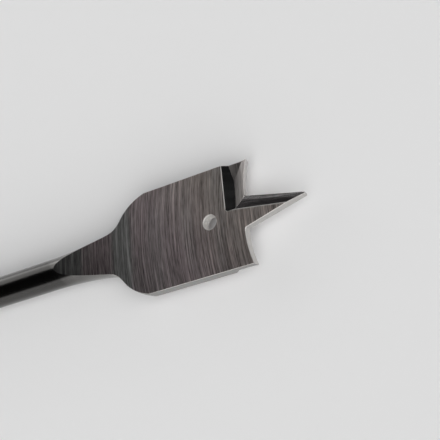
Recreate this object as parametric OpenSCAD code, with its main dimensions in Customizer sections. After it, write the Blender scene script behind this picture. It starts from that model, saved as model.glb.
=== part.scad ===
// Spade drill bit: a hex shank, a round forged shank and a flat ground blade
// with a centre point, two cutting lips and a spur at each outer corner.
// It is forged and ground from one steel rod, so it is a single solid.
// X runs along the axis from the shank's rear end to the point,
// Y runs across the blade, and the blade's faces look along +Z and -Z.

/* [Overall] */
// length from the shank's rear end to the tip of the centre point
total_len = 152.4; // [120:0.1:160]

/* [Shank] */
// width across the flats of the hex end
hex_af = 6.35; // [5.8:0.05:8]
// length of the hex end
hex_len = 26; // [20:0.5:34]
// length of the chamfer at both ends of the hex
hex_chamfer = 0.8; // [0.3:0.1:1.2]
// distance from the rear end to the middle of the ball groove
groove_x = 11; // [8:0.5:14]
// diameter at the bottom of the ball groove
groove_d = 5.8; // [5:0.05:6.2]
// radius of the ball groove's profile
groove_r = 2.4; // [1.5:0.1:3]
// diameter of the round shank
shank_d = 5.8; // [5:0.05:6.3]

/* [Neck and shoulders] */
// distance along the axis from the neck's start to the blade's corners
neck_len = 22.2; // [20:0.1:25]
// radius of the neck's long hollow curve
neck_r = 90; // [75:1:110]
// radius of the curve between the neck and the shoulders
throat_r = 4.7; // [3.5:0.1:6]
// radius of the shoulders' outward curve
shoulder_r = 9.4; // [8.5:0.1:12]
// angle between the shoulder and the axis where it meets the blade's side
corner_angle = 11.5; // [9:0.5:15]

/* [Blade] */
// width across the two ground sides, which is the diameter that it bores
blade_w = 19.05; // [17:0.05:22]
// thickness between the two ground faces
blade_t = 1.9; // [1.6:0.05:2.4]
// length of the parallel sides, from the corners to the foot of the lips
blade_len = 20.4; // [17:0.1:24]
// distance that the flat faces run past the corners toward the neck
face_run = 0.4; // [0.2:0.1:2]
// radius of the hollow grind that runs out on the round shank
face_r = 100; // [90:1:110]
// relief angle of the ground sides
side_relief = 3.4; // [1:0.1:6]

/* [Centre point] */
// length from the foot of the lips to the tip
point_len = 11.2; // [9:0.1:14]
// half of the point's width at its foot
point_half_w = 3.1; // [2.6:0.05:3.6]
// half of the point's width at its blunt tip
tip_half_w = 0.1; // [0.05:0.05:0.5]
// relief angle of the point's two flanks
point_relief = 11; // [6:0.5:14]
// distance from the axis to the bevel's border on the face, at the foot
bevel_y = 0.55; // [0.3:0.05:1]
// angle between the bevel's border and the axis
bevel_turn = 9.6; // [7:0.1:12]
// slope of the bevel down to the leading flank
bevel_slope = 18.6; // [14:0.1:22]

/* [Lips and spurs] */
// radius of the lips' hollow curve
lip_r = 18; // [14:0.1:24]
// distance from the point's flank to the curve's deepest place
lip_low = 0.75; // [0.3:0.05:1.5]
// radius of the fillet between the lip and the point
root_r = 0.4; // [0.2:0.05:0.6]
// relief angle behind the lips
lip_relief = 10; // [6:0.5:14]
// height of the lip above the blade's mid-plane at the point's foot
lip_z = 0.34; // [0.1:0.02:0.5]

/* [Rake pockets] */
// length of the pocket along the axis, from its back edge to the lip
pocket_len = 3.7; // [3:0.1:4.5]
// distance from the axis to the pocket's inner end
pocket_y = 0.95; // [0.8:0.05:1.6]
// radius in plan at the pocket's inner back corner
pocket_r = 0.6; // [0.2:0.05:0.8]
// distance from the pocket's valley to the foot of the slant beside the point
slant_run = 0.3; // [0.1:0.05:0.5]
// slope of the pocket's back wall
wall_slope = 40; // [34:1:48]
// slope of the rake face behind the lip
rake_slope = 16; // [12:0.5:18]
// fall of the rake face from the point to the side
rake_fall = 2.3; // [1:0.1:3]
// distance from the side to where the outer facet starts
facet_w = 3; // [2:0.1:4]
// slope of the outer facet up to the side
facet_slope = 9.6; // [5:0.2:12]

/* [Hole] */
// diameter of the hole
hole_d = 2.7; // [2.2:0.05:3.2]
// distance from the hole's centre back to the blade's corners
hole_x = 13.4; // [11:0.1:15]

/* [Hidden] */
$fn = 96;
steel = [0.45, 0.44, 0.45];
// overshoot of every cutter past the steel
over = 4;
// size of the blocks that cut with one face and clear the steel with the others
block = 16;
// steps along the profile's neck, throat and shoulder curves
neck_steps = 12;
throat_steps = 8;
shoulder_steps = 16;

tip_x = total_len;
lip_x = tip_x - point_len;
corner_x = lip_x - blade_len;
neck_x = corner_x - neck_len;
half_w = blade_w / 2;
half_t = blade_t / 2;
shank_r = shank_d / 2;
hex_corner_r = hex_af / 2 / cos(30);
point_half_angle = atan((point_half_w - tip_half_w) / point_len);

// centres of the neck's and the shoulder's curves, as [radius, station]
neck_c = [shank_r + neck_r, neck_x];
shoulder_c = [
    half_w - shoulder_r * cos(corner_angle),
    corner_x + shoulder_r * sin(corner_angle)
];

// the crossing of two circles that lies further from the blade
function cross_low(a, ra, b, rb) =
    let (gap = b - a, d = norm(gap), u = gap / d)
    let (along = (d * d + ra * ra - rb * rb) / (2 * d))
    let (off = sqrt(ra * ra - along * along))
    a + along * u + off * [-u[1], u[0]];

// direction from one point to another, and the points along an arc after its first
function heading(a, b) = atan2(b[1] - a[1], b[0] - a[0]);
function arc_points(c, r, from, to, steps) =
    [for (i = [1:steps]) let (t = from + (to - from) * i / steps) c + r * [cos(t), sin(t)]];

// the throat's curve touches both the neck's and the shoulder's
throat_c = cross_low(neck_c, neck_r - throat_r, shoulder_c, shoulder_r + throat_r);

// the lip's curve and the fillet at the point's foot, in plan from that foot
lip_c = [lip_r, lip_low];
flank_dir = [cos(point_half_angle), -sin(point_half_angle)];
flank_out = [sin(point_half_angle), cos(point_half_angle)];
root_reach = (lip_c - root_r * flank_out) * flank_dir;
root_drop = (lip_c - root_r * flank_out) * flank_out;
root_along = root_reach - sqrt(pow(lip_r - root_r, 2) - root_drop * root_drop);
root_c = root_r * flank_out + root_along * flank_dir;

// the cutter's lean that gives both relief angles at once
lean_x = tan(lip_relief);
lean_y = (tan(point_relief) - lean_x * sin(point_half_angle)) / cos(point_half_angle);

// the valley between the pocket's back wall and its rake face, at the facet's start
pocket_x = lip_x - pocket_len;
facet_y = half_w - facet_w;
facet_lip_z = lip_z - (facet_y - point_half_w) * tan(rake_fall);
valley_run = (half_t - facet_lip_z + pocket_len * tan(rake_slope))
    / (tan(wall_slope) + tan(rake_slope));
valley_z = half_t - valley_run * tan(wall_slope);
// the foot of the slant, where the pocket turns toward the point's foot
slant_x = pocket_x + valley_run + slant_run;

module along_x() {
    rotate([0, 90, 0]) children();
}

// a cutter on the +Z side of the +Y half and its twin half a turn round
module both_halves() {
    for (turn = [0, 180]) rotate([turn, 0, 0]) children();
}

// profile of the round shank, neck and shoulders, as radius over station
module blank_profile() {
    polygon(concat(
        [[0, hex_len - hex_chamfer], [shank_r, hex_len - hex_chamfer], [shank_r, neck_x]],
        arc_points(neck_c, neck_r, 180, heading(neck_c, throat_c), neck_steps),
        arc_points(
            throat_c, throat_r,
            heading(neck_c, throat_c), heading(throat_c, shoulder_c), throat_steps
        ),
        arc_points(
            shoulder_c, shoulder_r, heading(shoulder_c, throat_c), 0, shoulder_steps
        ),
        [[shoulder_c[0] + shoulder_r, tip_x], [0, tip_x]]
    ));
}

module blank() {
    along_x() rotate_extrude() blank_profile();
}

// the hex end, chamfered at both ends, with its ball groove
module hex_shank() {
    difference() {
        intersection() {
            along_x() rotate([0, 0, 30]) cylinder(r = hex_corner_r, h = hex_len, $fn = 6);
            along_x() rotate_extrude() polygon([
                [0, 0],
                [hex_corner_r - hex_chamfer, 0],
                [hex_corner_r, hex_chamfer],
                [hex_corner_r, hex_len - hex_chamfer],
                [hex_corner_r - hex_chamfer, hex_len],
                [0, hex_len]
            ]);
        }
        translate([groove_x, 0, 0]) along_x() rotate_extrude()
            translate([groove_d / 2 + groove_r, 0]) circle(r = groove_r);
    }
}

// the flat face grind and the hollow grind that runs out on the round shank
module face_grind() {
    span = 2 * (half_w + over);
    grind_x = corner_x - face_run;
    both_halves() {
        translate([grind_x, -span / 2, half_t])
            cube([tip_x - grind_x + over, span, span]);
        translate([grind_x, 0, half_t + face_r])
            rotate([90, 0, 0]) cylinder(r = face_r, h = span, center = true);
    }
}

// each side is widest at the face that its spur is on
module side_grind() {
    both_halves()
        translate([corner_x - over, half_w, half_t])
            rotate([-side_relief, 0, 0])
                translate([0, 0, -blade_t - over])
                    cube([tip_x - corner_x + 2 * over, block, blade_t + 2 * over]);
}

// plan of what is ground away in front of one lip and beside the point
module front_outline() {
    reach = point_len + over;
    difference() {
        translate(lip_c) circle(r = lip_r);
        polygon([
            -over * flank_dir, reach * flank_dir,
            reach * flank_dir - lip_r * flank_out, -over * flank_dir - lip_r * flank_out
        ]);
        polygon([
            -over * flank_dir, root_along * flank_dir, root_c,
            root_c + root_r * (root_c - lip_c) / norm(root_c - lip_c),
            [-over, root_r]
        ]);
    }
    translate(root_c) circle(r = root_r);
}

module front_grind() {
    both_halves()
        translate([lip_x, point_half_w, lip_z])
            rotate(a = atan(norm([lean_x, lean_y])), v = [-lean_y, lean_x, 0])
                linear_extrude(height = 2 * (blade_t + over), center = true)
                    front_outline();
}

// plan of the pocket: straight back edge, rounded inner corner, slant to the foot
module pocket_plan() {
    polygon([
        [pocket_x - over, pocket_y + pocket_r],
        [pocket_x, pocket_y + pocket_r],
        [pocket_x + pocket_r, pocket_y],
        [slant_x, pocket_y],
        [lip_x, point_half_w],
        [lip_x + over, point_half_w + over],
        [lip_x + over, half_w + over],
        [pocket_x - over, half_w + over]
    ]);
    translate([pocket_x + pocket_r, pocket_y + pocket_r]) circle(r = pocket_r);
}

// the ground pocket behind each lip: back wall, rake face and outer facet
module rake_pocket() {
    both_halves() intersection() {
        translate([0, 0, valley_z - over])
            linear_extrude(height = blade_t + 2 * over) pocket_plan();
        translate([pocket_x, -over, half_t])
            rotate([0, wall_slope, 0])
                cube([block, half_w + 2 * over, block]);
        translate([lip_x, point_half_w, lip_z])
            rotate([-rake_fall, -rake_slope, 0])
                translate([-block, -half_w, 0])
                    cube([2 * block, 2 * half_w, block]);
        translate([pocket_x - over, facet_y, valley_z])
            rotate([facet_slope, 0, 0])
                translate([0, -half_w, 0])
                    cube([block, 2 * half_w, block]);
    }
}

// each half of the point is bevelled down to its leading flank
module point_bevel() {
    both_halves() intersection() {
        translate([0, 0, -half_t]) linear_extrude(height = blade_t + over) polygon([
            [pocket_x + pocket_r, -half_w],
            [pocket_x + pocket_r, pocket_y],
            [slant_x, pocket_y],
            [lip_x, point_half_w],
            [lip_x + over, point_half_w + over],
            [tip_x + over, point_half_w + over],
            [tip_x + over, -half_w]
        ]);
        translate([lip_x, bevel_y, half_t])
            rotate([0, 0, -bevel_turn])
                rotate([-bevel_slope, 0, 0])
                    translate([-block, 0, 0])
                        cube([point_len + 2 * block, block, block]);
    }
}

module hang_hole() {
    translate([corner_x + hole_x, 0, 0])
        cylinder(d = hole_d, h = blade_t + 2 * over, center = true);
}

module spade_bit() {
    color(steel) {
        difference() {
            union() {
                hex_shank();
                blank();
            }
            face_grind();
            side_grind();
            front_grind();
            rake_pocket();
            point_bevel();
            hang_hole();
        }
    }
}

spade_bit();
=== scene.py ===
import math

import bmesh
import bpy
from mathutils import Matrix, Vector


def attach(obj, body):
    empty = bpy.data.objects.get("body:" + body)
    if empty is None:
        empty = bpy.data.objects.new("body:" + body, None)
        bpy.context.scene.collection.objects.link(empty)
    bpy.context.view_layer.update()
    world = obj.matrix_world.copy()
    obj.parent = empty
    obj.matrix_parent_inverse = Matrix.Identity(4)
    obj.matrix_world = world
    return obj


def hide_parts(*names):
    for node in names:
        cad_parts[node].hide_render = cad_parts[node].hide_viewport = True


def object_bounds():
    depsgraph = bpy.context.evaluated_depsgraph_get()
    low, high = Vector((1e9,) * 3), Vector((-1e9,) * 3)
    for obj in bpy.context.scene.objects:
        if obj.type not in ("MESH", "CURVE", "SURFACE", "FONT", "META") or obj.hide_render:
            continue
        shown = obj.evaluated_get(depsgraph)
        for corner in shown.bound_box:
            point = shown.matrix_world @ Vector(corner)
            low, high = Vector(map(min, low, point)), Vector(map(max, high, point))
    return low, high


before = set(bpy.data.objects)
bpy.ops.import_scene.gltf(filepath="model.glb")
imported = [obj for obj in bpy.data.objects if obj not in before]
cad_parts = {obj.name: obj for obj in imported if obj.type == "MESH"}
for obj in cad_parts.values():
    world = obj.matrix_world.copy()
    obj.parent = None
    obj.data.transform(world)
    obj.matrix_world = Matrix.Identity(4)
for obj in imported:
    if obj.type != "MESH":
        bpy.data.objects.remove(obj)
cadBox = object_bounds()
print("stage: the packed spade bit is loaded")

mm = 0.001


def newGroup(name, inputs, outputs):
    # inputs are (name, kind, value) rows, and outputs (name, kind) rows
    group = bpy.data.node_groups.new(name, "ShaderNodeTree")
    for label, kind, value in inputs:
        socket = group.interface.new_socket(label, in_out="INPUT", socket_type="NodeSocket" + kind)
        socket.default_value = value
    for label, kind in outputs:
        group.interface.new_socket(label, in_out="OUTPUT", socket_type="NodeSocket" + kind)
    return group, group.nodes.new("NodeGroupInput"), group.nodes.new("NodeGroupOutput")


def wire(tree, value, socket):
    # value is a number, a colour or another node's output
    if isinstance(value, bpy.types.NodeSocket):
        tree.links.new(value, socket)
    else:
        socket.default_value = value


def calc(tree, operation, *values, clamp=False):
    node = tree.nodes.new("ShaderNodeMath")
    node.operation = operation
    node.use_clamp = clamp
    for value, socket in zip(values, node.inputs):
        wire(tree, value, socket)
    return node.outputs[0]


def dot(tree, a, b):
    node = tree.nodes.new("ShaderNodeVectorMath")
    node.operation = "DOT_PRODUCT"
    wire(tree, a, node.inputs[0])
    wire(tree, b, node.inputs[1])
    return node.outputs["Value"]


def spread(tree, value, low, high):
    # takes the noise's usual range to low .. high
    node = tree.nodes.new("ShaderNodeMapRange")
    wire(tree, value, node.inputs["Value"])
    for socket, number in zip(node.inputs[1:5], (0.25, 0.75, low, high)):
        wire(tree, number, socket)
    return node.outputs[0]


def blend(tree, factor, a, b):
    node = tree.nodes.new("ShaderNodeMix")
    node.data_type = "RGBA"
    for label, value in (("Factor", factor), ("A", a), ("B", b)):
        wire(tree, value, node.inputs[label])
    return node.outputs["Result"]


# rows and reach are a mark's steps to a millimetre across the lines and along them,
# and the stains and the way are in millimetres from the rear end
marks = dict(
    fine=dict(reach=0.5, seed=3.1, detail=2, rough=0.6),
    coarse=dict(reach=0.05, seed=7.7, detail=3, rough=0.65),
    scratch=dict(reach=0.12, seed=5.5, detail=1, rough=0.5),
    patch=dict(reach=0.05, seed=1.3, detail=1, rough=0.5),
    scratchRows=4.5, patchRows=0.35,
    throatStain=115.2, stainReach=2.4, neckStain=107,
    wayStart=100, wayLen=45, waySlant=0.6,
)


def lineNoise(tree, line, along, rows, kind):
    # noise drawn out along the lines
    place = tree.nodes.new("ShaderNodeCombineXYZ")
    across = calc(tree, "MULTIPLY", line, rows)
    down = calc(tree, "MULTIPLY", along, kind["reach"])
    for value, socket in zip((across, down, kind["seed"]), place.inputs):
        wire(tree, value, socket)
    node = tree.nodes.new("ShaderNodeTexNoise")
    node.inputs["Scale"].default_value = 1
    node.inputs["Detail"].default_value = kind["detail"]
    node.inputs["Roughness"].default_value = kind["rough"]
    tree.links.new(place.outputs[0], node.inputs["Vector"])
    return node.outputs["Fac"]


def makeGrindLines(s):
    # scratches of a grinding wheel: across is the direction from line to line,
    # along the lines' own direction, and bow bends them into arcs
    group, given, result = newGroup(
        "grindLines",
        [
            ("Across", "Vector", (1, 0, 0)),
            ("Along", "Vector", (0, 1, 0)),
            ("Bow", "Float", 0),
            ("Fine", "Float", 7),
            ("Coarse", "Float", 1.5),
        ],
        [("Height", "Float"), ("Tone", "Float"), ("Band", "Float"), ("Way", "Float")],
    )
    place = group.nodes.new("ShaderNodeTexCoord").outputs["Object"]
    across = calc(group, "MULTIPLY", dot(group, place, given.outputs["Across"]), 1 / mm)
    along = calc(group, "MULTIPLY", dot(group, place, given.outputs["Along"]), 1 / mm)
    bend = calc(group, "MULTIPLY", calc(group, "MULTIPLY", along, along), given.outputs["Bow"])
    line = calc(group, "SUBTRACT", across, bend)

    fine = lineNoise(group, line, along, given.outputs["Fine"], s["fine"])
    coarse = lineNoise(group, line, along, given.outputs["Coarse"], s["coarse"])
    scratch = lineNoise(group, line, along, s["scratchRows"], s["scratch"])
    patch = lineNoise(group, line, along, s["patchRows"], s["patch"])
    group.links.new(calc(group, "MULTIPLY_ADD", coarse, 0.5, fine), result.inputs["Height"])

    tone = calc(group, "ADD", spread(group, fine, -0.2, 0.2), spread(group, coarse, -0.3, 0.3))
    tone = calc(group, "ADD", tone, calc(group, "MAXIMUM", spread(group, scratch, -0.48, 0.4), 0))
    group.links.new(tone, result.inputs["Tone"])

    # cool stains across the throat and the neck's end, and weaker ones here and there
    off = calc(group, "ABSOLUTE", calc(group, "SUBTRACT", across, s["throatStain"]))
    stain = calc(group, "SUBTRACT", s["stainReach"], off, clamp=True)
    onNeck = calc(group, "SUBTRACT", s["neckStain"], across, clamp=True)
    stain = calc(group, "MAXIMUM", stain, onNeck)
    band = calc(group, "ADD", spread(group, patch, -0.18, 0.42), stain, clamp=True)
    group.links.new(band, result.inputs["Band"])

    # 0 where the neck starts and 1 at the point, fast at first; it drives the painted light falloff
    # and the far colour
    way = calc(
        group, "MULTIPLY_ADD", dot(group, place, (1, s["waySlant"], 0)),
        1 / (s["wayLen"] * mm), -s["wayStart"] / s["wayLen"], clamp=True,
    )
    group.links.new(calc(group, "SQRT", way), result.inputs["Way"])
    return group


grindLines = makeGrindLines(marks)


def paintedEdgeHighlight(tree, colour, s):
    # a painted highlight: a paler band along a cutting edge, the lighter strip of the
    # point's bevel; the edge runs from its foot to the tip, on the other side of the axis below
    place = tree.nodes.new("ShaderNodeSeparateXYZ")
    tree.links.new(tree.nodes.new("ShaderNodeTexCoord").outputs["Object"], place.inputs[0])
    x, y, z = place.outputs
    footX, footY = s["foot"]
    edge = calc(tree, "MULTIPLY_ADD", x, -s["slope"], (footY + s["slope"] * footX) * mm)
    inward = calc(tree, "SUBTRACT", edge, calc(tree, "MULTIPLY", y, calc(tree, "SIGN", z)))
    mask = tree.nodes.new("ShaderNodeMapRange")
    mask.interpolation_type = "SMOOTHSTEP"
    wire(tree, inward, mask.inputs["Value"])
    for socket, number in zip(mask.inputs[1:5], (s["full"] * mm, s["wide"] * mm, 1, 0)):
        wire(tree, number, socket)
    return blend(tree, mask.outputs[0], colour, (*s["colour"], 1))


def groundSteel(name, finish):
    # bare steel with the marks of its last grind
    material = bpy.data.materials.new(name)
    material.use_nodes = True
    tree = material.node_tree
    shader = tree.nodes["Principled BSDF"]
    lines = tree.nodes.new("ShaderNodeGroup")
    lines.node_tree = grindLines
    for label in ("Across", "Along", "Bow", "Fine", "Coarse"):
        lines.inputs[label].default_value = finish[label.lower()]
    tone, way = lines.outputs["Tone"], lines.outputs["Way"]

    colour = (*finish["colour"], 1)
    if "far" in finish:
        far = finish["far"]
        rate, start = far["rate"], far["start"]
        factor = calc(tree, "MULTIPLY_ADD", way, rate, -rate * start, clamp=True)
        colour = blend(tree, factor, colour, (*far["colour"], 1))
    colour = blend(tree, lines.outputs["Band"], colour, (*finish["otherColour"], 1))
    if "edgeHighlight" in finish:
        colour = paintedEdgeHighlight(tree, colour, finish["edgeHighlight"])

    # painted light: the colour is scaled from dim at the neck to bright at the point and towards
    # +Y, a painted falloff of the light, times the grain's tone
    atNeck, atPoint = finish.get("grainAndPaintedFalloff", (1, 1))
    grainAndPaintedFalloff = calc(tree, "MULTIPLY_ADD", tone, finish["contrast"], 1)
    grainAndPaintedFalloff = calc(tree, "MAXIMUM", grainAndPaintedFalloff, darkestLine)
    grainAndPaintedFalloff = calc(tree, "MULTIPLY", grainAndPaintedFalloff, calc(tree, "MULTIPLY_ADD", way, atPoint - atNeck, atNeck))
    shade = tree.nodes.new("ShaderNodeVectorMath")
    shade.operation = "SCALE"
    tree.links.new(colour, shade.inputs[0])
    tree.links.new(grainAndPaintedFalloff, shade.inputs["Scale"])
    tree.links.new(shade.outputs[0], shader.inputs["Base Color"])
    shader.inputs["Metallic"].default_value = 1

    # the lines smear every reflection across themselves
    lay = tree.nodes.new("ShaderNodeVectorTransform")
    lay.vector_type, lay.convert_from, lay.convert_to = "VECTOR", "OBJECT", "WORLD"
    lay.inputs[0].default_value = finish["across"]
    tree.links.new(lay.outputs[0], shader.inputs["Tangent"])
    shader.inputs["Anisotropic"].default_value = finish["smear"]
    rough = calc(tree, "MULTIPLY_ADD", tone, finish["roughSpread"], finish["rough"])
    tree.links.new(rough, shader.inputs["Roughness"])

    bump = tree.nodes.new("ShaderNodeBump")
    bump.inputs["Distance"].default_value = finish["depth"] * mm
    bump.inputs["Strength"].default_value = 1
    tree.links.new(lines.outputs["Height"], bump.inputs["Height"])
    tree.links.new(bump.outputs["Normal"], shader.inputs["Normal"])
    return material


# the least share of its colour that a dark line keeps
darkestLine = 0.35

faceFinish = dict(
    across=(1, -0.012, 0), along=(0, 1, 0), bow=0.009, fine=7, coarse=3.2,
    colour=(0.295, 0.247, 0.253), otherColour=(0.252, 0.251, 0.246),
    far=dict(colour=(0.295, 0.257, 0.240), start=0.75, rate=6),
    # painted light: the face is darkened at the neck and brightened at the point
    grainAndPaintedFalloff=(0.05, 1.28), contrast=2.15, rough=0.42, roughSpread=0.08, smear=0.6, depth=0.001,
)
shankFinish = dict(
    across=(1, 0, 0), along=(0, 1, 1), bow=0, fine=5, coarse=0.6,
    colour=(0.125, 0.122, 0.118), otherColour=(0.115, 0.112, 0.108),
    # painted light: the shank is dim along its length and brightened on the neck towards the
    # shoulder
    grainAndPaintedFalloff=(0.75, 3.4), contrast=0.15, rough=0.18, roughSpread=0.04, smear=0.3, depth=0.001,
)
sideFinish = dict(
    across=(1, 0.3, 0), along=(0, 0, 1), bow=0, fine=6, coarse=1.5,
    colour=(0.31, 0.303, 0.294), otherColour=(0.275, 0.272, 0.266),
    contrast=0.2, rough=0.3, roughSpread=0.08, smear=0.4, depth=0.003,
)
flankFinish = dict(
    across=(1, 0.3, 0), along=(0, 0, 1), bow=0, fine=6, coarse=1.5,
    colour=(0.55, 0.535, 0.52), otherColour=(0.50, 0.49, 0.48),
    contrast=0.2, rough=0.3, roughSpread=0.08, smear=0.4, depth=0.003,
)
# painted shade: the pocket's back wall is the same steel, given a colour far darker than the rest
# to stand in for the dark it reflects
wallFinishPaintedShade = dict(
    across=(0, 1, 0), along=(1, 0, 1), bow=0, fine=4, coarse=1.2,
    colour=(0.074, 0.071, 0.071), otherColour=(0.064, 0.063, 0.063),
    contrast=0.5, rough=0.2, roughSpread=0.08, smear=0.4, depth=0.003,
)
rakeFinish = dict(
    across=(1, 0, 0), along=(0, 1, 0), bow=0, fine=6, coarse=1.8,
    colour=(0.31, 0.29, 0.28), otherColour=(0.28, 0.267, 0.255),
    contrast=1.5, rough=0.4, roughSpread=0.08, smear=0.6, depth=0.004,
)
bevelFinish = dict(
    across=(0.17, 1, 0), along=(1, -0.17, 0), bow=0, fine=4, coarse=1.6,
    colour=(0.215, 0.19, 0.196), otherColour=(0.186, 0.172, 0.175),
    # the paler band along the bevel's edge is a painted highlight
    edgeHighlight=dict(foot=(141.2, 3.1), slope=0.268, full=0.54, wide=0.9, colour=(0.62, 0.60, 0.60)),
    contrast=1.3, rough=0.25, roughSpread=0.08, smear=0.4, depth=0.004,
)
# the rounded edges' paler steel is partly wear and partly a painted highlight for thin bright lines
# along the outline
edgeWearAndHighlight = dict(
    across=(1, 0.3, 0), along=(0, 1, 1), bow=0, fine=5, coarse=1.5,
    colour=(0.62, 0.60, 0.58), otherColour=(0.55, 0.54, 0.53),
    contrast=0.4, rough=0.6, roughSpread=0.05, smear=0, depth=0.001,
)
# painted light: the bore's steel is near white, far paler than real steel, so its wall shows bright
boreFinishPaintedLight = dict(
    across=(0, 0, 1), along=(1, 1, 0), bow=0, fine=5, coarse=1.5,
    colour=(0.90, 0.88, 0.86), otherColour=(0.86, 0.85, 0.83),
    contrast=0.2, rough=0.65, roughSpread=0.05, smear=0, depth=0.002,
)

shankSteel = groundSteel("satinShank", shankFinish)
faceSteel = groundSteel("groundFace", faceFinish)
sideSteel = groundSteel("groundSide", sideFinish)
flankSteel = groundSteel("groundFlank", flankFinish)
wallSteel = groundSteel("pocketWall", wallFinishPaintedShade)
rakeSteel = groundSteel("rakeGrind", rakeFinish)
bevelSteel = groundSteel("pointBevel", bevelFinish)
boreSteel = groundSteel("boredHole", boreFinishPaintedLight)
edgeSteel = groundSteel("rubbedEdgeAndHighlight", edgeWearAndHighlight)
print("stage: steels are mixed")


def solid(name, points, faces, steel, place=None):
    # solids are made in millimetres until the bit is whole
    mesh = bpy.data.meshes.new(name)
    mesh.from_pydata(points, [], faces)
    mesh.materials.append(steel)
    shape = bmesh.new()
    shape.from_mesh(mesh)
    bmesh.ops.recalc_face_normals(shape, faces=shape.faces)
    shape.to_mesh(mesh)
    shape.free()
    if place:
        mesh.transform(place)
    piece = bpy.data.objects.new(name, mesh)
    bpy.context.scene.collection.objects.link(piece)
    return piece


def prism(name, outline, low, high, steel, place=None):
    # outline is drawn in X and Y, and the prism runs from low to high in Z
    count = len(outline)
    points = [(x, y, z) for z in (low, high) for x, y in outline]
    sides = [(i, (i + 1) % count, (i + 1) % count + count, i + count) for i in range(count)]
    faces = [tuple(range(count)), tuple(range(count, 2 * count)), *sides]
    return solid(name, points, faces, steel, place)


def lathe(name, section, around, steel, ring=False):
    # section is a row of (radius, station) points turned about X; a ring's section
    # closes on itself, and any other is capped at its ends
    angles = [2 * math.pi * i / around for i in range(around)]
    points = [(x, r * math.cos(a), r * math.sin(a)) for r, x in section for a in angles]
    caps = [tuple(range(around)), tuple(range(len(points) - around, len(points)))]
    faces = [] if ring else caps
    for row in range(len(section) if ring else len(section) - 1):
        here, after = row * around, (row + 1) % len(section) * around
        for i in range(around):
            j = (i + 1) % around
            faces.append((here + i, here + j, after + j, after + i))
    return solid(name, points, faces, steel)


def boxAt(name, size, steel, place):
    x, y, z = size
    return prism(name, [(0, 0), (x, 0), (x, y), (0, y)], 0, z, steel, place)


def move(x, y, z):
    return Matrix.Translation((x, y, z))


def turn(degrees, axis):
    return Matrix.Rotation(math.radians(degrees), 4, axis)


def degTan(degrees):
    return math.tan(math.radians(degrees))


def heading(a, b):
    return math.degrees(math.atan2(b[1] - a[1], b[0] - a[0]))


def arc(centre, radius, start, end, steps):
    # points along an arc after its first
    angles = [math.radians(start + (end - start) * (i + 1) / steps) for i in range(steps)]
    return [(centre[0] + radius * math.cos(a), centre[1] + radius * math.sin(a)) for a in angles]


def twin(piece):
    # the same cutter half a turn round the axis, for the other face
    mesh = piece.data.copy()
    mesh.transform(turn(180, "X"))
    other = bpy.data.objects.new(piece.name + "Twin", mesh)
    bpy.context.scene.collection.objects.link(other)
    return other


def work(piece, operation, tools):
    # cuts, joins or keeps what is common, then throws the tools away
    for tool in tools:
        step = piece.modifiers.new(tool.name, "BOOLEAN")
        step.operation = operation
        step.object = tool
        step.solver = "EXACT"
        step.material_mode = "TRANSFER"
    bpy.context.view_layer.update()
    made = piece.evaluated_get(bpy.context.evaluated_depsgraph_get())
    made = bpy.data.meshes.new_from_object(made)
    piece.modifiers.clear()
    piece.data = made
    for tool in tools:
        bpy.data.objects.remove(tool)
    return piece


# millimetres and degrees, in the order the grinds are made
spadeBit = dict(
    node="spade_bit",
    totalLen=152.4,
    hexAcross=6.35, hexLen=26, hexChamfer=0.8,
    grooveX=11, grooveD=5.8, grooveR=2.4,
    shankD=5.8,
    neckLen=22.2, neckR=90, throatR=4.7, shoulderR=9.4, cornerAngle=11.5,
    bladeW=19.05, bladeT=1.9, bladeLen=20.4,
    faceRun=0.4, faceR=100, faceRise=12, sideRelief=3.4,
    pointLen=11.2, pointHalfW=3.1, tipHalfW=0.1, pointRelief=11,
    bevelY=0.55, bevelTurn=9.6, bevelSlope=18.6,
    lipR=18, lipLow=0.75, rootR=0.4, lipRelief=10, lipZ=0.34,
    pocketLen=3.7, pocketY=0.95, pocketR=0.6, slantRun=0.3,
    wallSlope=40, rakeSlope=16, rakeFall=2.3, facetW=3, facetSlope=9.6,
    holeD=2.7, holeX=13.4,
    aroundShank=128, aroundHole=72, ballSteps=48,
    curveSteps=40, throatSteps=12, faceSteps=80, lipSteps=60, rootSteps=10, pocketSteps=8,
    edgeRound=0.08, edgeSegments=2, edgeAngle=14, plainNeck=14,
    smoothAngle=12, flatAngle=0.05, weld=0.004,
)
# how far a cutter stands past the steel, the size of a block that trims one,
# and how far two cutters that meet run into each other
over = 4
block = 16
lap = 0.01


def stations(s):
    # where the parts of the bit start along the axis, from the rear end
    lip = s["totalLen"] - s["pointLen"]
    corner = lip - s["bladeLen"]
    return dict(tip=s["totalLen"], lip=lip, corner=corner, neck=corner - s["neckLen"])


def throatCentre(s, neckC, shoulderC):
    # the curve that touches the neck's and the shoulder's curves
    a, b = Vector(neckC), Vector(shoulderC)
    ra, rb = s["neckR"] - s["throatR"], s["shoulderR"] + s["throatR"]
    gap = (b - a).length
    way = (b - a) / gap
    along = (gap * gap + ra * ra - rb * rb) / (2 * gap)
    off = math.sqrt(ra * ra - along * along)
    return a + along * way + off * Vector((-way.y, way.x))


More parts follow.
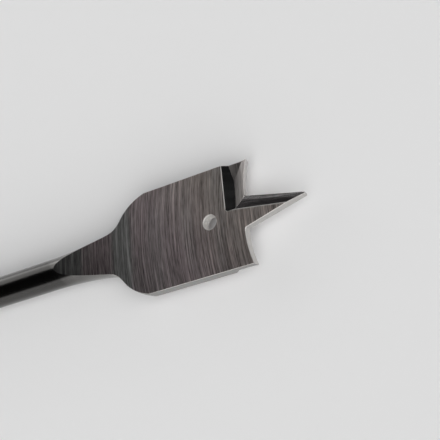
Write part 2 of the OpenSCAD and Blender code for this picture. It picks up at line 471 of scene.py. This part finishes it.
def makeBlank(s):
    at = stations(s)
    shankR = s["shankD"] / 2
    neckC = (shankR + s["neckR"], at["neck"])
    corner = math.radians(s["cornerAngle"])
    shoulderC = (
        s["bladeW"] / 2 - s["shoulderR"] * math.cos(corner),
        at["corner"] + s["shoulderR"] * math.sin(corner),
    )
    throatC = throatCentre(s, neckC, shoulderC)
    fromNeck = heading(neckC, throatC) % 360
    toShoulder = heading(throatC, shoulderC) % 360
    fromThroat = heading(shoulderC, throatC) % 360 - 360
    profile = [
        (shankR, s["hexLen"] - s["hexChamfer"]),
        (shankR, at["neck"]),
        *arc(neckC, s["neckR"], 180, fromNeck, s["curveSteps"]),
        *arc(throatC, s["throatR"], fromNeck, toShoulder, s["throatSteps"]),
        *arc(shoulderC, s["shoulderR"], fromThroat, 0, s["curveSteps"]),
        (shoulderC[0] + s["shoulderR"], at["tip"]),
    ]
    return lathe("blank", profile, s["aroundShank"], shankSteel)


def makeHex(s):
    cornerR = s["hexAcross"] / 2 / math.cos(math.pi / 6)
    length, chamfer = s["hexLen"], s["hexChamfer"]
    angles = [math.pi * i / 3 for i in range(6)]
    ring = [(cornerR * math.cos(a), cornerR * math.sin(a)) for a in angles]
    lay = Matrix(((0, 0, 1, 0), (1, 0, 0, 0), (0, 1, 0, 0), (0, 0, 0, 1)))
    bar = prism("hexEnd", ring, 0, length, shankSteel, lay)
    cone = [
        (cornerR - chamfer, 0), (cornerR, chamfer),
        (cornerR, length - chamfer), (cornerR - chamfer, length),
    ]
    work(bar, "INTERSECT", [lathe("hexEnds", cone, s["aroundShank"], shankSteel)])
    middle = (s["grooveD"] / 2 + s["grooveR"], s["grooveX"])
    ball = arc(middle, s["grooveR"], 0, 360, s["ballSteps"])
    groove = lathe("ballGroove", ball, s["aroundShank"], shankSteel, ring=True)
    return work(bar, "DIFFERENCE", [groove])


def makeFaceGrind(s):
    # the flat face and the long hollow that runs out on the shank, drawn in X and Z
    at = stations(s)
    radius, halfT = s["faceR"], s["bladeT"] / 2
    high, end = halfT + s["faceRise"], at["tip"] + over
    sweep = math.degrees(math.acos(1 - s["faceRise"] / radius))
    middle = (at["corner"] - s["faceRun"], halfT + radius)
    hollow = arc(middle, radius, -90 - sweep, -90, s["faceSteps"])
    outline = [*hollow, (end, halfT), (end, high), (hollow[0][0], high)]
    return prism("faceGrind", outline, -block, block, faceSteel, turn(90, "X"))


def makeSideGrind(s):
    at = stations(s)
    place = (
        move(at["corner"] - over, s["bladeW"] / 2, s["bladeT"] / 2)
        @ turn(-s["sideRelief"], "X")
        @ move(0, 0, -s["bladeT"] - over)
    )
    size = (at["tip"] - at["corner"] + 2 * over, block, s["bladeT"] + 2 * over)
    return boxAt("sideGrind", size, sideSteel, place)


def makeFrontGrind(s):
    # the lip's hollow curve, the fillet at its root and the point's flank
    half = math.atan((s["pointHalfW"] - s["tipHalfW"]) / s["pointLen"])
    lipC = Vector((s["lipR"], s["lipLow"]))
    along = Vector((math.cos(half), -math.sin(half)))
    out = Vector((math.sin(half), math.cos(half)))
    reach = (lipC - s["rootR"] * out).dot(along)
    drop = (lipC - s["rootR"] * out).dot(out)
    foot = reach - math.sqrt((s["lipR"] - s["rootR"]) ** 2 - drop * drop)
    rootC = s["rootR"] * out + foot * along
    top = 180 - math.degrees(math.asin((over + s["bladeW"] / 2 - s["lipLow"]) / s["lipR"]))
    touch = heading(lipC, rootC) % 360
    flat = math.degrees(math.atan2(-out.y, -out.x)) % 360
    far = (s["pointLen"] + over) * along
    outline = [
        *arc(lipC, s["lipR"], top, touch, s["lipSteps"]),
        *arc(rootC, s["rootR"], touch, flat, s["rootSteps"]),
        tuple(far),
        (far.x, over + s["bladeW"] / 2),
    ]
    leanX = degTan(s["lipRelief"])
    leanY = (degTan(s["pointRelief"]) - leanX * math.sin(half)) / math.cos(half)
    lean = Matrix.Rotation(math.atan(math.hypot(leanX, leanY)), 4, Vector((-leanY, leanX, 0)))
    place = move(stations(s)["lip"], s["pointHalfW"], s["lipZ"]) @ lean
    high = s["bladeT"] + over
    return prism("frontGrind", outline, -high, high, flankSteel, place)


def pocketPlaces(s):
    # the pocket's back, where its slant starts, the facet's foot and the valley's depth
    halfT, rakeTan, wallTan = s["bladeT"] / 2, degTan(s["rakeSlope"]), degTan(s["wallSlope"])
    facetY = s["bladeW"] / 2 - s["facetW"]
    facetLipZ = s["lipZ"] - (facetY - s["pointHalfW"]) * degTan(s["rakeFall"])
    run = (halfT - facetLipZ + s["pocketLen"] * rakeTan) / (wallTan + rakeTan)
    back = stations(s)["lip"] - s["pocketLen"]
    slant = back + run + s["slantRun"]
    return dict(back=back, slant=slant, facetY=facetY, valleyZ=halfT - run * wallTan)


def makePocket(s):
    # back wall, rake face and outer facet of the pocket behind a lip
    lip, at = stations(s)["lip"], pocketPlaces(s)
    halfW, halfT, back = s["bladeW"] / 2, s["bladeT"] / 2, at["back"]
    inner = (back + s["pocketR"], s["pocketY"] + s["pocketR"])
    plan = [
        (back - over, inner[1]),
        (back, inner[1]),
        *arc(inner, s["pocketR"], 180, 270, s["pocketSteps"]),
        (at["slant"], s["pocketY"]),
        (lip, s["pointHalfW"]),
        (lip + over, s["pointHalfW"] + over),
        (lip + over, halfW + over),
        (back - over, halfW + over),
    ]
    pocket = prism("pocket", plan, at["valleyZ"] - over, halfT + over, rakeSteel)
    wall = boxAt(
        "backWall", (block, halfW + 2 * over, block), wallSteel,
        move(back, -over, halfT) @ turn(s["wallSlope"], "Y"),
    )
    rake = boxAt(
        "rakeFace", (2 * block, 2 * halfW, block), rakeSteel,
        move(lip, s["pointHalfW"], s["lipZ"])
        @ turn(-s["rakeSlope"], "Y") @ turn(-s["rakeFall"], "X") @ move(-block, -halfW, 0),
    )
    facet = boxAt(
        "outerFacet", (block, 2 * halfW, block), rakeSteel,
        move(back - over, at["facetY"], at["valleyZ"])
        @ turn(s["facetSlope"], "X") @ move(0, -halfW, 0),
    )
    return work(pocket, "INTERSECT", [wall, rake, facet])


def makePointBevel(s):
    at, pocketAt = stations(s), pocketPlaces(s)
    lip, far = at["lip"], at["tip"] + over
    halfW, halfT = s["bladeW"] / 2, s["bladeT"] / 2
    start, sideY, footY = pocketAt["back"] + s["pocketR"], s["pocketY"] + lap, s["pointHalfW"]
    plan = [
        (start, -halfW),
        (start, sideY),
        (pocketAt["slant"] - lap, sideY),
        (lip - lap, footY + lap),
        (lip + over, footY + over),
        (far, footY + over),
        (far, -halfW),
    ]
    bevel = prism("pointBevel", plan, -halfT, halfT + over, bevelSteel)
    slope = boxAt(
        "bevelSlope", (s["pointLen"] + 2 * block, block, block), bevelSteel,
        move(lip, s["bevelY"], halfT)
        @ turn(-s["bevelTurn"], "Z") @ turn(-s["bevelSlope"], "X") @ move(-block, 0, 0),
    )
    return work(bevel, "INTERSECT", [slope])


def makeHole(s):
    middle = (stations(s)["corner"] + s["holeX"], 0)
    ring = arc(middle, s["holeD"] / 2, 0, 360, s["aroundHole"])
    high = s["bladeT"] + over
    return prism("hangHole", ring, -high, high, boreSteel)


def markEdges(shape, s):
    # only the edges that stand out get rubbed, and not where the hollow runs out
    rubbed = shape.edges.layers.float.new("bevel_weight_edge")
    hollowEnd = stations(s)["neck"] + s["plainNeck"]
    for edge in shape.edges:
        onNeck = s["hexLen"] < edge.verts[0].co.x < hollowEnd
        if len(edge.link_faces) == 2 and edge.is_convex and not onNeck:
            edge[rubbed] = float(edge.calc_face_angle() > math.radians(s["edgeAngle"]))


def makeBit(s):
    bit = work(makeHex(s), "UNION", [makeBlank(s)])
    makers = (makeFaceGrind, makeSideGrind, makeFrontGrind, makePocket, makePointBevel)
    grinds = [make(s) for make in makers]
    cutters = [tool for grind in grinds for tool in (grind, twin(grind))]
    work(bit, "DIFFERENCE", [makeHole(s), *cutters])

    shape = bmesh.new()
    shape.from_mesh(bit.data)
    bmesh.ops.remove_doubles(shape, verts=shape.verts, dist=s["weld"])
    bmesh.ops.dissolve_limit(
        shape, angle_limit=math.radians(s["flatAngle"]),
        verts=shape.verts, edges=shape.edges, delimit={"MATERIAL"},
    )
    for face in shape.faces:
        face.smooth = True
    markEdges(shape, s)
    shape.to_mesh(bit.data)
    shape.free()
    bit.data.transform(Matrix.Scale(mm, 4))
    bit.data.set_sharp_from_angle(angle=math.radians(s["smoothAngle"]))
    bit.name = bit.data.name = "spadeBit"

    rub = bit.modifiers.new("rubbedEdges", "BEVEL")
    rub.width = s["edgeRound"] * mm
    rub.segments = s["edgeSegments"]
    rub.limit_method = "WEIGHT"
    rub.harden_normals = True
    rub.use_clamp_overlap = False
    # the rounded edges get that paler steel: wear, and partly a painted highlight
    bit.data.materials.append(edgeSteel)
    rub.material = len(bit.data.materials) - 1
    # closes the tiny folds that the rubbing leaves where edges run out
    closing = bit.modifiers.new("closedFolds", "WELD")
    closing.merge_threshold = s["weld"] * mm
    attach(bit, "root")
    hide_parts(s["node"])


makeBit(spadeBit)
print("stage: the bit is dressed")


studio = dict(
    floorSize=3.0,
    floorDrop=0.2,
    floorColour=(0.9, 0.9, 0.9),
    floorRough=0.9,
    horizonLight=0.8,
    ceilingLight=0.01,
    horizonTop=18,
    horizonSoft=4,
)


def makeFloor(s):
    half = s["floorSize"] / 2
    low = cadBox[0].z - s["floorDrop"] * mm
    mesh = bpy.data.meshes.new("floor")
    corners = [(x, y, low) for x, y in ((-half, -half), (half, -half), (half, half), (-half, half))]
    mesh.from_pydata(corners, [], [(0, 1, 2, 3)])
    material = bpy.data.materials.new("paleFloor")
    material.use_nodes = True
    shader = material.node_tree.nodes["Principled BSDF"]
    shader.inputs["Base Color"].default_value = (*s["floorColour"], 1)
    shader.inputs["Roughness"].default_value = s["floorRough"]
    mesh.materials.append(material)
    floor = bpy.data.objects.new("floor", mesh)
    bpy.context.scene.collection.objects.link(floor)


def makeWorld(s):
    # a pale horizon under a dark ceiling, which gives the steel its contrast
    world = bpy.data.worlds.new("studio")
    bpy.context.scene.world = world
    world.use_nodes = True
    tree = world.node_tree
    background = tree.nodes["Background"]
    height = dot(tree, tree.nodes.new("ShaderNodeTexCoord").outputs["Generated"], (0, 0, 1))
    edge = tree.nodes.new("ShaderNodeMapRange")
    edge.interpolation_type = "SMOOTHSTEP"
    wire(tree, height, edge.inputs["Value"])
    low, high = s["horizonTop"] - s["horizonSoft"], s["horizonTop"] + s["horizonSoft"]
    edge.inputs["From Min"].default_value = math.sin(math.radians(low))
    edge.inputs["From Max"].default_value = math.sin(math.radians(high))
    edge.inputs["To Min"].default_value = s["horizonLight"]
    edge.inputs["To Max"].default_value = s["ceilingLight"]
    tree.links.new(edge.outputs[0], background.inputs["Strength"])
    background.inputs["Color"].default_value = (1, 1, 1, 1)


# broad lamps, far enough away to light the whole floor evenly
lamps = [
    dict(name="keyLamp", toward=(0.6, -0.62, 0.5), spread=102, strength=3.95),
    dict(name="leftBackLamp", toward=(-0.75, 0.55, 0.36), spread=40, strength=0.4),
]


def makeLamps(rows):
    for row in rows:
        data = bpy.data.lights.new(row["name"], "SUN")
        data.energy = row["strength"]
        data.angle = math.radians(row["spread"])
        lamp = bpy.data.objects.new(row["name"], data)
        lamp.rotation_euler = (-Vector(row["toward"])).to_track_quat("-Z", "Y").to_euler()
        bpy.context.scene.collection.objects.link(lamp)


photoCamera = dict(
    place=(216.312 * mm, -59.848 * mm, 133.838 * mm),
    turn=(17.5978, 32.9772, -6.4784),
    lens=80.409,
    sensor=36,
    clipStart=0.01,
)


def makeCamera(s):
    data = bpy.data.cameras.new("camera")
    data.lens = s["lens"]
    data.sensor_width = s["sensor"]
    data.clip_start = s["clipStart"]
    camera = bpy.data.objects.new("camera", data)
    camera.location = s["place"]
    camera.rotation_euler = [math.radians(a) for a in s["turn"]]
    bpy.context.scene.collection.objects.link(camera)
    bpy.context.scene.camera = camera


makeFloor(studio)
makeWorld(studio)
makeLamps(lamps)
makeCamera(photoCamera)
bpy.context.scene.view_settings.view_transform = "Standard"
print("stage: floor, light and camera are set")
